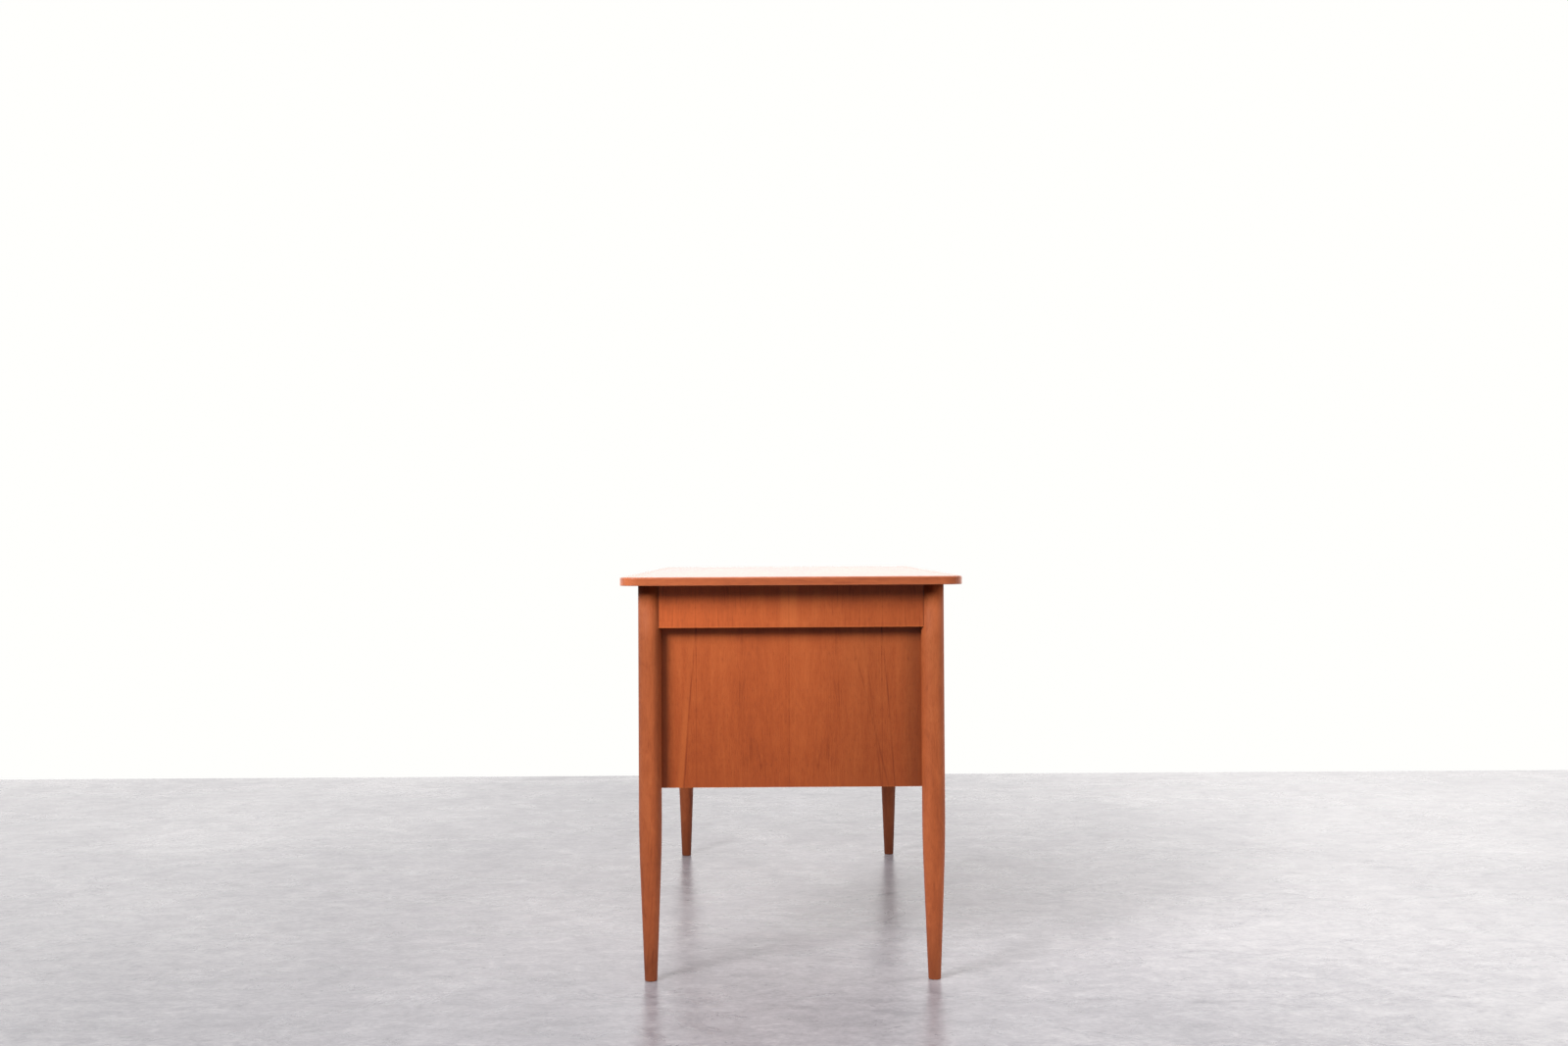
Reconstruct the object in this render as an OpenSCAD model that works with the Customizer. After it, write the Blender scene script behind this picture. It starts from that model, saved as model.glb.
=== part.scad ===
// Writing desk: a thin lipped top on four turned legs, with two hanging drawer cases
// and four side-hung drawers. Origin on the floor at the centre of the desk.
// +X runs along the length, the drawers open towards -Y, +Z is up. Millimetres.

/* [Overall] */
// Length of the top
desk_length = 1200; // [1000:10:1500]
// Depth of the top, front to back
desk_depth = 610; // [500:5:735]
// Height of the top above the floor
desk_height = 720; // [600:5:870]

/* [Top] */
// Thickness of the top
top_t = 15; // [13:1:22]
// Radius of the corners in plan
top_corner_r = 34; // [25:1:45]
// How far the top stands past the legs
top_overhang = 31; // [15:1:40]
// Width of the solid lipping round the panel
lipping_w = 24; // [22:1:32]
// Thickness of the lipping's tongue
lip_tongue_t = 5; // [4:0.5:6]
// Length of the lipping's tongue
lip_tongue_l = 8; // [5:1:12]

/* [Legs] */
// Diameter of a leg where it is straight
leg_d = 41; // [34:0.5:50]
// Diameter of a leg at the floor
foot_d = 22.4; // [16:0.2:30]
// Height of the taper, to the middle of its blend
taper_h = 250; // [180:5:290]
// Height over which the taper blends into the straight
taper_blend = 110; // [40:5:140]
// Chamfer at the foot
foot_chamfer = 1.5; // [0.5:0.5:3]

/* [Aprons] */
// Height of the aprons
apron_h = 76; // [60:1:95]
// Thickness of the aprons
apron_t = 22; // [18:1:26]
// Outer face of an apron outside the leg's axis
apron_stand = 12.5; // [9:0.5:14]
// Thickness of the tenons
tenon_t = 8; // [6:0.5:9]
// Shoulder above and below each tenon
tenon_shoulder = 10; // [6:1:16]
// Distance from the end of a tenon to the leg's axis
tenon_stop = 6; // [6:0.5:9]
// Height and width of the battens under the top
batten_w = 22; // [18:1:28]

/* [Drawer cases] */
// Width of a case, outside
case_w = 300; // [250:5:360]
// Depth of a case below the aprons
case_drop = 288; // [240:4:348]
// Thickness of the case boards
board_t = 16; // [13:1:20]
// Thickness of the case backs
case_back_t = 8; // [6:0.5:10]
// Length of the tongues on case tops and bottoms
board_tongue = 5; // [4:0.5:7]
// Gap between a case's outer corners and the legs
case_leg_gap = 0.5; // [0.3:0.1:2]

/* [Drawers] */
// Thickness of a drawer front
front_t = 18; // [16:1:22]
// Gap above, below and between the fronts
front_gap = 2.5; // [1.5:0.5:4]
// Gap at each end of a front
front_side_gap = 1.5; // [1:0.5:3]
// Thickness of a drawer's sides and back
side_t = 12; // [10:0.5:15]
// Thickness of a drawer's bottom
bottom_t = 5; // [4:0.5:7]
// Gap between a drawer side and its case
box_gap = 2; // [1:0.5:3]
// Lower edge of the sides above the lower edge of the front
side_lift = 5; // [3:1:9]
// Upper edge of the sides below the upper edge of the front
side_drop = 12; // [6:1:20]
// Space behind a closed drawer
drawer_back_gap = 18; // [10:1:30]
// Height of a runner
runner_h = 10; // [8:0.5:14]
// Distance from the case's front edge to the runners
runner_setback = 30; // [24:1:50]
// Number of dovetails on a drawer's corner
tail_count = 3; // [2:1:4]
// Length of the dovetails
tail_l = 12; // [10:0.5:13]

/* [Knobs] */
// Diameter of a knob
knob_d = 32; // [26:1:38]
// Projection of a knob
knob_l = 24; // [20:1:28]
// Diameter of the knob's neck
knob_neck_d = 13; // [11:0.5:18]
// Height of the neck, from the drawer front to the head's flare
knob_neck_h = 10; // [8:0.5:12]
// Thickness of the knob's rim
knob_rim = 4; // [3:0.5:5]
// Depth of the dish in the knob's face
knob_dish = 1.5; // [0.5:0.25:2]

/* [Screws] */
// Diameter of the screws' shanks
screw_d = 4; // [3.5:0.5:5]
// Diameter of the countersunk heads
screw_head_d = 8; // [7:0.5:9]
// Length of a screw inside the piece that it holds
screw_bite = 11; // [8:1:12]

/* [Hidden] */
$fn = 96;
glue_gap = 0.1;        // round tenons, tongues and dovetails
run_gap = 0.3;         // above and below a runner in its groove
eps = 1;               // how far a cut passes an open face
screw_fit = 0.1;       // on the diameter, round a screw
runner_seat = 2;       // depth of a runner's housing in the case side
runner_end_gap = 0.5;  // from a runner's face to the floor of its groove
runner_stop = 0.5;     // from a closed drawer to its stop
bottom_rise = 7;       // a drawer's bottom above the lower edge of its sides
back_inset = 8;        // a drawer's back in from the ends of its sides
back_drop = 6;         // a drawer's back below the top of its sides
tail_slope = 1 / 6;    // flare of the dovetails
tail_share = 0.72;     // a dovetail's tip, as a share of their pitch
groove_share = 0.4;    // depth of the bottom's groove, as a share of the sides' thickness
well_gap = 1;          // round a screw's head in the well that it goes up
pan_head_h = 2.5;      // height of the knob screws' pan heads
pan_head_extra = 1;    // a pan head's diameter past a countersunk one's
end_screw_grip = 20;   // height of end apron left above each well
batten_screws = 3;     // in each batten
case_screws_n = 3;     // through each case into its end apron
knob_foot = 2;         // a knob's foot past its neck
knob_foot_h = 1.5;
blend_steps = 8;       // rings in the leg's blend

SIDES = [-1, 1];
ENDS = ["left", "right"];
TIERS = ["lower", "upper"];

// Top and frame
leg_r = leg_d / 2;
leg_x = desk_length / 2 - top_overhang - leg_r;
leg_y = desk_depth / 2 - top_overhang - leg_r;
under_top = desk_height - top_t;
apron_z = under_top - apron_h;
end_apron_in = leg_x + apron_stand - apron_t;
long_apron_in = leg_y + apron_stand - apron_t;
apron_mid = apron_stand - apron_t / 2;
tenon_h = apron_h - 2 * tenon_shoulder;
panel_x = desk_length / 2 - lipping_w;
panel_y = desk_depth / 2 - lipping_w;

// Cases
case_out = end_apron_in;
case_in = case_out - case_w;
case_mid = (case_out + case_in) / 2;
case_y = leg_y - sqrt(pow(leg_r, 2) - pow(leg_x - case_out, 2)) - case_leg_gap;
case_z = apron_z - case_drop;
back_face = case_y - case_back_t;
open_w = case_w - 2 * board_t;
open_z = case_z + board_t;
open_h = case_drop - 2 * board_t;

// Drawers
tiers = len(TIERS);
front_h = (open_h - (tiers + 1) * front_gap) / tiers;
front_w = open_w - 2 * front_side_gap;
front_in = front_t - case_y;
box_w = open_w - 2 * box_gap;
box_h = front_h - side_lift - side_drop;
box_back = back_face - drawer_back_gap;
inner_w = box_w - 2 * side_t;
runner_y = runner_setback - case_y;
runner_groove_d = side_t / 2;
runner_reach = runner_groove_d - runner_end_gap;
dado = side_t / 3;
bottom_groove = groove_share * side_t;
tail_pitch = box_h / tail_count;
tail_w = tail_share * tail_pitch;

// Screws
head_h = (screw_head_d - screw_d) / 2;
end_screw_y = leg_y / 2;

DRAWER_PIECES = ["front", "left_side", "right_side", "back", "bottom", "knob", "knob_screw"];
CASE_PIECES = ["outer_side", "inner_side", "top", "bottom", "back"];

function drawer_z(tier) = open_z + front_gap + tier * (front_h + front_gap);
function side_z(tier) = drawer_z(tier) + side_lift;
function runner_z(tier) = side_z(tier) + (box_h - runner_h) / 2;

// A box between two opposite corners
module block(from, to) {
    translate(from) cube(to - from);
}

// Same thing at both ends of the length, for one sign of X
module at_end(s) {
    if (s < 0) mirror([1, 0, 0]) children();
    else children();
}

// ---- top ----

module top_outline() {
    dx = desk_length / 2 - top_corner_r;
    dy = desk_depth / 2 - top_corner_r;
    square([2 * dx, desk_depth], center = true);
    square([desk_length, 2 * dy], center = true);
    for (x = SIDES, y = SIDES) translate([x * dx, y * dy]) circle(r = top_corner_r);
}

module lipping_tongues(grow) {
    z = under_top + (top_t - lip_tongue_t) / 2 - grow;
    reach = lip_tongue_l + grow;
    difference() {
        block([-panel_x - eps, -panel_y - eps, z],
              [panel_x + eps, panel_y + eps, z + lip_tongue_t + 2 * grow]);
        block([reach - panel_x, reach - panel_y, z - eps],
              [panel_x - reach, panel_y - reach, z + lip_tongue_t + 2 * grow + eps]);
    }
}

module lipping_ring() {
    translate([0, 0, under_top]) linear_extrude(top_t) difference() {
        top_outline();
        square([2 * panel_x, 2 * panel_y], center = true);
    }
}

// The quarter of the plan that one lipping fills, cut by the mitres at its ends
module long_sector(s) {
    x = desk_length / 2;
    y = desk_depth / 2;
    polygon([[-x, s * y], [x, s * y], [x - y, 0], [y - x, 0]]);
}

module end_sector(s) {
    x = desk_length / 2;
    y = desk_depth / 2;
    polygon([[s * x, -y], [s * x, y], [s * (x - y), 0]]);
}

module lipping() {
    color("peru") intersection() {
        union() {
            lipping_ring();
            lipping_tongues(0);
        }
        translate([0, 0, under_top]) linear_extrude(top_t) children();
    }
}

module desktop() {
    color("sienna") difference() {
        block([-panel_x, -panel_y, under_top], [panel_x, panel_y, desk_height]);
        lipping_tongues(glue_gap);
        top_screw_bores(screw_fit);
    }
}

// ---- legs ----

function leg_radius(z) =
    let (slope = (leg_r - foot_d / 2) / taper_h,
         low = taper_h - taper_blend / 2,
         high = taper_h + taper_blend / 2)
    z >= high ? leg_r
    : z >= low ? leg_r - slope * pow(high - z, 2) / (2 * taper_blend)
    : leg_r - slope * (taper_h - z);

module leg_turning() {
    low = taper_h - taper_blend / 2;
    rotate_extrude() polygon(concat(
        [[0, 0], [leg_radius(0) - foot_chamfer, 0], [leg_radius(foot_chamfer), foot_chamfer]],
        [for (i = [0:blend_steps])
            let (z = low + i * taper_blend / blend_steps) [leg_radius(z), z]],
        [[leg_r, under_top], [0, under_top]]
    ));
}

module leg(sx, sy) {
    color("sienna") difference() {
        translate([sx * leg_x, sy * leg_y, 0]) leg_turning();
        end_tenons(sx, glue_gap);
        long_tenons(sy, glue_gap);
    }
}

// ---- aprons ----

module end_tenons(sx, grow) {
    x = sx * (leg_x + apron_mid);
    y = leg_y - tenon_stop + grow;
    block([x - tenon_t / 2 - grow, -y, apron_z + tenon_shoulder - grow],
          [x + tenon_t / 2 + grow, y, apron_z + tenon_shoulder + tenon_h + grow]);
}

module long_tenons(sy, grow) {
    y = sy * (leg_y + apron_mid);
    x = leg_x - tenon_stop + grow;
    block([-x, y - tenon_t / 2 - grow, apron_z + tenon_shoulder - grow],
          [x, y + tenon_t / 2 + grow, apron_z + tenon_shoulder + tenon_h + grow]);
}

module leg_copes() {
    for (x = SIDES, y = SIDES) translate([x * leg_x, y * leg_y, apron_z - eps])
        cylinder(h = apron_h + 2 * eps, d = leg_d);
}

module apron_end(s) {
    color("sienna") difference() {
        union() {
            difference() {
                at_end(s) block([end_apron_in, -leg_y, apron_z],
                                [leg_x + apron_stand, leg_y, under_top]);
                leg_copes();
            }
            end_tenons(s, 0);
        }
        case_screw_bores(screw_fit);
        top_screw_bores(screw_fit);
    }
}

module apron_long(s) {
    color("sienna") {
        difference() {
            block([-leg_x, min(s * long_apron_in, s * (leg_y + apron_stand)), apron_z],
                  [leg_x, max(s * long_apron_in, s * (leg_y + apron_stand)), under_top]);
            leg_copes();
        }
        long_tenons(s, 0);
    }
}

module batten(s) {
    y0 = s * long_apron_in;
    y1 = s * (long_apron_in - batten_w);
    color("burlywood") difference() {
        block([-case_in, min(y0, y1), under_top - batten_w], [case_in, max(y0, y1), under_top]);
        top_screw_bores(screw_fit);
    }
}

// ---- screws ----

// A countersunk screw along +Z, with its head's flat at the origin
module screw(length, fit) {
    cylinder(h = head_h, d1 = screw_head_d + fit, d2 = screw_d + fit);
    cylinder(h = length + fit, d = screw_d + fit);
}

module batten_screw_places() {
    pitch = 2 * case_in / batten_screws;
    for (i = [0:batten_screws - 1], s = SIDES)
        translate([(i + 0.5) * pitch - case_in, s * (long_apron_in - batten_w / 2), under_top - batten_w])
            children();
}

module end_screw_places() {
    for (x = SIDES, y = SIDES)
        translate([x * (leg_x + apron_mid), y * end_screw_y, under_top - end_screw_grip]) children();
}

module top_screw_bores(fit) {
    well = apron_h - end_screw_grip;
    batten_screw_places() screw(batten_w + screw_bite, fit);
    end_screw_places() {
        screw(end_screw_grip + screw_bite, fit);
        translate([0, 0, -well - eps]) cylinder(h = well + eps, d = screw_head_d + 2 * well_gap);
    }
}

module top_screws() {
    color("silver") {
        batten_screw_places() screw(batten_w + screw_bite, 0);
        end_screw_places() screw(end_screw_grip + screw_bite, 0);
    }
}

module case_screw_bores(fit) {
    pitch = 2 * case_y / case_screws_n;
    for (s = SIDES, i = [0:case_screws_n - 1])
        at_end(s) translate([case_out - board_t, (i + 0.5) * pitch - case_y, apron_z + apron_h / 2])
            rotate([0, 90, 0]) screw(board_t + screw_bite, fit);
}

module case_screws() {
    color("silver") case_screw_bores(0);
}

// ---- drawer cases, drawn at the right-hand end ----

module board_tongues(z, grow) {
    t = board_t / 3;
    block([case_in + board_t - board_tongue - grow, -case_y, z + t - grow],
          [case_out - board_t + board_tongue + grow, back_face, z + 2 * t + grow]);
}

module case_housings() {
    board_tongues(case_z, glue_gap);
    board_tongues(apron_z - board_t, glue_gap);
    back_rebate(glue_gap);
    for (tier = [0:tiers - 1]) runner_pair(tier, glue_gap);
}

module back_rebate(grow) {
    block([case_in + board_t / 2 - grow, back_face, case_z - eps],
          [case_out - board_t / 2 + grow, case_y + eps, apron_z]);
}

module case_outer_side() {
    color("sienna") difference() {
        block([case_out - board_t, -case_y, case_z], [case_out, case_y, under_top]);
        case_housings();
        case_screw_bores(screw_fit);
    }
}

module case_inner_side() {
    color("sienna") difference() {
        union() {
            block([case_in, -case_y, case_z], [case_in + board_t, case_y, under_top]);
            block([case_in, -long_apron_in, apron_z], [case_in + board_t, long_apron_in, under_top]);
        }
        case_housings();
    }
}

module case_board(z) {
    color("sienna") {
        block([case_in + board_t, -case_y, z], [case_out - board_t, back_face, z + board_t]);
        board_tongues(z, 0);
    }
}

module case_back() {
    color("tan") block([case_in + board_t / 2, back_face, case_z],
                       [case_out - board_t / 2, case_y, apron_z]);
}

module runner_pair(tier, grow) {
    z = runner_z(tier);
    reach = box_gap + runner_reach;
    for (s = SIDES) translate([case_mid, 0, 0]) at_end(s)
        block([open_w / 2 - reach - grow, runner_y - grow, z - grow],
              [open_w / 2 + runner_seat + grow, back_face - glue_gap + grow, z + runner_h + grow]);
}

module runners(tier) {
    color("burlywood") runner_pair(tier, 0);
}

// ---- drawers, drawn about x = 0 ----

// Dovetails of one side, seen along X: wide at their ends
module tails(tier, grow) {
    flare = tail_l * tail_slope;
    for (i = [0:tail_count - 1]) {
        z = side_z(tier) + (i + 0.5) * tail_pitch;
        root = tail_w / 2 - flare + grow;
        tip = tail_w / 2 + grow;
        polygon([[front_in + eps, z - root], [front_in, z - root], [front_in - tail_l - grow, z - tip],
                 [front_in - tail_l - grow, z + tip], [front_in, z + root], [front_in + eps, z + root]]);
    }
}

// Extrudes an outline in the Y-Z plane from x0 to x1
module along_x(x0, x1) {
    translate([x0, 0, 0]) rotate([90, 0, 90]) linear_extrude(x1 - x0) children();
}

module bottom_panel(tier, grow) {
    z = side_z(tier) + bottom_rise;
    x = inner_w / 2 + bottom_groove - glue_gap + grow;
    block([-x, front_in - bottom_groove + glue_gap - grow, z - grow],
          [x, box_back - back_inset, z + bottom_t + grow]);
}

module knob_bore(fit) {
    along = front_t + screw_bite;
    translate([0, front_in, 0]) rotate([90, 0, 0]) cylinder(h = along + fit, d = screw_d + fit);
}

module drawer_front(tier) {
    z = drawer_z(tier);
    color("sienna") difference() {
        block([-front_w / 2, -case_y, z], [front_w / 2, front_in, z + front_h]);
        for (s = SIDES) at_end(s) along_x(inner_w / 2 - glue_gap, front_w / 2 + eps) tails(tier, glue_gap);
        bottom_panel(tier, glue_gap);
        translate([0, 0, z + front_h / 2]) knob_bore(screw_fit);
    }
}

module drawer_side(tier, s) {
    z = side_z(tier);
    end = box_back + eps;
    color("wheat") at_end(s) difference() {
        union() {
            block([inner_w / 2, front_in, z], [box_w / 2, box_back, z + box_h]);
            along_x(inner_w / 2, box_w / 2) tails(tier, 0);
        }
        translate([0, -eps, 0]) bottom_panel(tier, glue_gap);
        block([0, front_in - tail_l - eps, z + bottom_rise - glue_gap],
              [inner_w / 2 + bottom_groove, end, z + bottom_rise + bottom_t + glue_gap]);
        block([0, box_back - back_inset - side_t - glue_gap, z + bottom_rise],
              [inner_w / 2 + dado, box_back - back_inset + glue_gap, z + box_h + eps]);
        block([box_w / 2 - runner_groove_d, runner_y - runner_stop, runner_z(tier) - run_gap],
              [box_w / 2 + eps, end, runner_z(tier) + runner_h + run_gap]);
    }
}

module drawer_back(tier) {
    x = inner_w / 2 + dado - glue_gap;
    z = side_z(tier);
    color("wheat") block([-x, box_back - back_inset - side_t, z + bottom_rise + bottom_t],
                         [x, box_back - back_inset, z + box_h - back_drop]);
}

module drawer_bottom(tier) {
    color("bisque") bottom_panel(tier, 0);
}

// Half of the knob's section: a foot, a waist and a mushroom head with a shallow dish
module knob_profile() {
    head_r = knob_d / 2;
    neck_r = knob_neck_d / 2;
    foot_r = neck_r + knob_foot;
    edge_r = knob_rim / 2;
    flare_h = knob_l - knob_neck_h - knob_rim;
    flare = [for (a = [0:15:90]) [head_r - (head_r - neck_r) * cos(a), knob_neck_h + flare_h * sin(a)]];
    crown = [for (a = [0:15:90]) [head_r - edge_r + edge_r * cos(a), knob_l - edge_r + edge_r * sin(a)]];
    dish = [for (a = [75:-15:0]) [(head_r - edge_r) * sin(a), knob_l - knob_dish * cos(a)]];
    polygon(concat(
        [[0, 0], [foot_r, 0], [foot_r, knob_foot_h], [neck_r, knob_foot_h + knob_foot]],
        flare,
        crown,
        dish
    ));
}

module drawer_knob(tier) {
    z = drawer_z(tier) + front_h / 2;
    color("sienna") difference() {
        translate([0, -case_y, z]) rotate([90, 0, 0]) rotate_extrude() knob_profile();
        translate([0, 0, z]) knob_bore(screw_fit);
    }
}

module drawer_knob_screw(tier) {
    head = screw_head_d + pan_head_extra;
    color("silver") translate([0, 0, drawer_z(tier) + front_h / 2]) {
        knob_bore(0);
        translate([0, front_in, 0]) rotate([-90, 0, 0]) cylinder(h = pan_head_h, d = head);
    }
}

// ---- the pieces ----

desktop();
lipping() long_sector(-1);  // lipping_front
lipping() long_sector(1);  // lipping_back
lipping() end_sector(-1);  // lipping_left
lipping() end_sector(1);  // lipping_right

leg(-1, -1);  // leg_front_left
leg(1, -1);  // leg_front_right
leg(-1, 1);  // leg_back_left
leg(1, 1);  // leg_back_right

apron_long(-1);  // apron_front
apron_long(1);  // apron_back
apron_end(-1);  // apron_left
apron_end(1);  // apron_right
batten(-1);  // batten_front
batten(1);  // batten_back
top_screws();
case_screws();

for (e = [0:1]) {
    s = SIDES[e];
    at_end(s) case_outer_side();
    at_end(s) case_inner_side();
    at_end(s) case_board(apron_z - board_t);
    at_end(s) case_board(case_z);
    at_end(s) case_back();

    for (t = [0:tiers - 1]) {
        name = str(ENDS[e], "_", TIERS[t]);
        at_end(s) runners(t);
        translate([s * case_mid, 0, 0]) {
            drawer_front(t);
            drawer_side(t, -1);
            drawer_side(t, 1);
            drawer_back(t);
            drawer_bottom(t);
            drawer_knob(t);
            drawer_knob_screw(t);
        }
    }
}
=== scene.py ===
"""The looks of a teak writing desk: turned legs, a lipped top and two hanging drawer cases.

Metres, +X along the desk's length, the drawers open towards -Y, +Z up, the floor at z = 0.
"""
import math

import bmesh
import bpy
from mathutils import Matrix, Vector


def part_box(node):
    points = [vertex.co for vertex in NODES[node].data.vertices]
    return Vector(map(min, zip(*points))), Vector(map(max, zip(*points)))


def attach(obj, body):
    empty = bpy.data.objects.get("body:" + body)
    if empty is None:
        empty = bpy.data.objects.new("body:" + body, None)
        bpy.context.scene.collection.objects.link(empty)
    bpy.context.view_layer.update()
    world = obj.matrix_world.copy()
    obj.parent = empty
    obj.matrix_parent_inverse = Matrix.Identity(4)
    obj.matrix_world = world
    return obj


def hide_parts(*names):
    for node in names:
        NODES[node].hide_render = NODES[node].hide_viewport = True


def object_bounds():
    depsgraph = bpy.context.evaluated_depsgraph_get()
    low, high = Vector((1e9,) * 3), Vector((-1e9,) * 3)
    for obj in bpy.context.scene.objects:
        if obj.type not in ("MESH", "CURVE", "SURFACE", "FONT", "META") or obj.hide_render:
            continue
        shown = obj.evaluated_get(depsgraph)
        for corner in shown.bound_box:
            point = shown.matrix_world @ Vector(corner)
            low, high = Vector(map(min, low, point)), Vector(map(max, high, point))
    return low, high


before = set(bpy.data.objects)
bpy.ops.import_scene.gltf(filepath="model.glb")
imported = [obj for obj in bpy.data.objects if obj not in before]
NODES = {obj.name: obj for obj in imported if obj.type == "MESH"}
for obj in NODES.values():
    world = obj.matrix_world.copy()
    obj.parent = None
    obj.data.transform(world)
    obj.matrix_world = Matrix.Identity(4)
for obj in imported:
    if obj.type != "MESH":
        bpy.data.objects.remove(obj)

cad_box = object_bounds()

# ---------------------------------------------------------------- sizes from the frame

ENDS = ("left", "right")
TIERS = ("lower", "upper")
LEGS = ("leg_front_left", "leg_front_right", "leg_back_left", "leg_back_right")

panel_low, panel_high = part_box("desktop")
length = cad_box[1].x - cad_box[0].x
depth = cad_box[1].y - cad_box[0].y
under_top, top_z = panel_low.z, panel_high.z
CORNER_R = 0.034      # of the top, in plan


def centre_of(node):
    low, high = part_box(node)
    return (low + high) / 2


# ---------------------------------------------------------------- shader nodes

class Shader:
    """Writes one material's node tree."""

    def __init__(self, name):
        self.material = bpy.data.materials.new(name)
        self.material.use_nodes = True
        self.nodes = self.material.node_tree.nodes
        self.links = self.material.node_tree.links
        self.surface = self.nodes["Principled BSDF"]

    def put(self, socket, value):
        if isinstance(value, bpy.types.NodeSocket):
            self.links.new(value, socket)
        elif value is not None:
            socket.default_value = value

    def math(self, operation, a, b=None, c=None, clamp=False):
        node = self.nodes.new("ShaderNodeMath")
        node.operation = operation
        node.use_clamp = clamp
        for socket, value in zip(node.inputs, (a, b, c)):
            self.put(socket, value)
        return node.outputs[0]

    def vector(self, operation, a, b):
        node = self.nodes.new("ShaderNodeVectorMath")
        node.operation = operation
        self.put(node.inputs[0], a)
        self.put(node.inputs[1], b)
        return node.outputs[0]

    def combine(self, x, y, z):
        node = self.nodes.new("ShaderNodeCombineXYZ")
        for socket, value in zip(node.inputs, (x, y, z)):
            self.put(socket, value)
        return node.outputs[0]

    def position(self):
        """The object's own coordinates, which are the desk's while a body is at rest."""
        coordinates = self.nodes.new("ShaderNodeTexCoord")
        split = self.nodes.new("ShaderNodeSeparateXYZ")
        self.links.new(coordinates.outputs["Object"], split.inputs[0])
        return {axis: split.outputs[i] for i, axis in enumerate("XYZ")}

    def noise(self, vector, detail=2.0, roughness=0.5, distortion=0.0):
        node = self.nodes.new("ShaderNodeTexNoise")
        self.put(node.inputs["Vector"], vector)
        node.inputs["Scale"].default_value = 1.0
        node.inputs["Detail"].default_value = detail
        node.inputs["Roughness"].default_value = roughness
        node.inputs["Distortion"].default_value = distortion
        return node.outputs["Fac"]

    def sway(self, noise, amount, onto, clamp=False):
        """onto, raised and lowered by a noise about its middle."""
        return self.math("MULTIPLY_ADD", self.math("SUBTRACT", noise, 0.5), amount, onto, clamp)

    def stretch(self, value, low, high, to_low=0.0, to_high=1.0):
        """A smooth step from low to high."""
        node = self.nodes.new("ShaderNodeMapRange")
        node.interpolation_type = "SMOOTHSTEP"
        for socket, number in zip(node.inputs, (value, low, high, to_low, to_high)):
            self.put(socket, number)
        return node.outputs[0]

    def ramp(self, value, stops):
        node = self.nodes.new("ShaderNodeValToRGB")
        self.put(node.inputs[0], value)
        set_stops(node, stops)
        return node.outputs[0]

    def mix(self, factor, a, b, blend="MIX"):
        node = self.nodes.new("ShaderNodeMix")
        node.data_type = "RGBA"
        node.blend_type = blend
        self.put(node.inputs[0], factor)
        for socket, value in zip((node.inputs[6], node.inputs[7]), (a, b)):
            self.put(socket, (*value, 1) if isinstance(value, tuple) else value)
        return node.outputs[2]

    def finish(self, colour, roughness, height, bump, **settings):
        node = self.nodes.new("ShaderNodeBump")
        node.inputs["Strength"].default_value = 1.0
        node.inputs["Distance"].default_value = bump
        self.put(node.inputs["Height"], height)
        self.links.new(node.outputs[0], self.surface.inputs["Normal"])
        self.put(self.surface.inputs["Base Color"], colour)
        self.put(self.surface.inputs["Roughness"], roughness)
        for name, value in settings.items():
            self.surface.inputs[name].default_value = value
        return self.material


def set_stops(node, stops):
    """Gives a colour ramp its (place, colour) stops."""
    elements = node.color_ramp.elements
    while len(elements) < len(stops):
        elements.new(0.5)
    for element, (place, colour) in zip(elements, stops):
        element.position = place
        element.color = (*colour, 1)


# ---------------------------------------------------------------- wood

# dark, middle and light are the ramp of the figure, line and pore what its dark lines and pores
# are multiplied by. figure and mottle are how much the tone varies, wander how far the grain
# drifts in metres, and broad, rings, fibres and pores how many of each there are in a metre.
TEAK = dict(
    dark=(0.24, 0.047, 0.013), middle=(0.41, 0.086, 0.0215), light=(0.56, 0.146, 0.040),
    line=(0.55, 0.44, 0.40), pore=(0.50, 0.42, 0.38), figure=0.36, mottle=0.34,
    wander=0.020, broad=9.0, rings=120.0, fibres=1500.0, pores=2600.0,
    line_share=0.45, pore_share=0.60, roughness=0.46, bump=0.00012)
TEAK_FIGURED = dict(TEAK, figure=0.95, line_share=0.80, dark=(0.19, 0.036, 0.011))
TEAK_SOLID = dict(
    TEAK, dark=(0.24, 0.052, 0.017), middle=(0.42, 0.102, 0.032), light=(0.56, 0.160, 0.054),
    figure=0.50, mottle=0.46, line_share=0.55, roughness=0.56)
BEECH = dict(
    dark=(0.50, 0.27, 0.12), middle=(0.62, 0.38, 0.19), light=(0.71, 0.47, 0.26),
    line=(0.80, 0.70, 0.60), pore=(0.62, 0.48, 0.38), figure=0.3, mottle=0.15,
    wander=0.008, broad=12.0, rings=160.0, fibres=1700.0, pores=1500.0,
    line_share=0.35, pore_share=0.45, roughness=0.55, bump=0.00006)
PLYWOOD = dict(
    BEECH, dark=(0.56, 0.36, 0.18), middle=(0.67, 0.47, 0.26), light=(0.76, 0.57, 0.34),
    wander=0.030, broad=7.0, rings=70.0, line_share=0.30, roughness=0.60)

SEAM_W = 0.0007       # half the width of the joint between two leaves of veneer
RUB_W = 0.0022        # how far in from an edge the wood is rubbed paler and smoother


def toned(look, share):
    """The same wood, darker or lighter by share."""
    shades = {tone: tuple(share * value for value in look[tone]) for tone in ("dark", "middle", "light")}
    return dict(look, **shades)


def even(share):
    """The same share of red, green and blue."""
    return (share, share, share)


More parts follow.
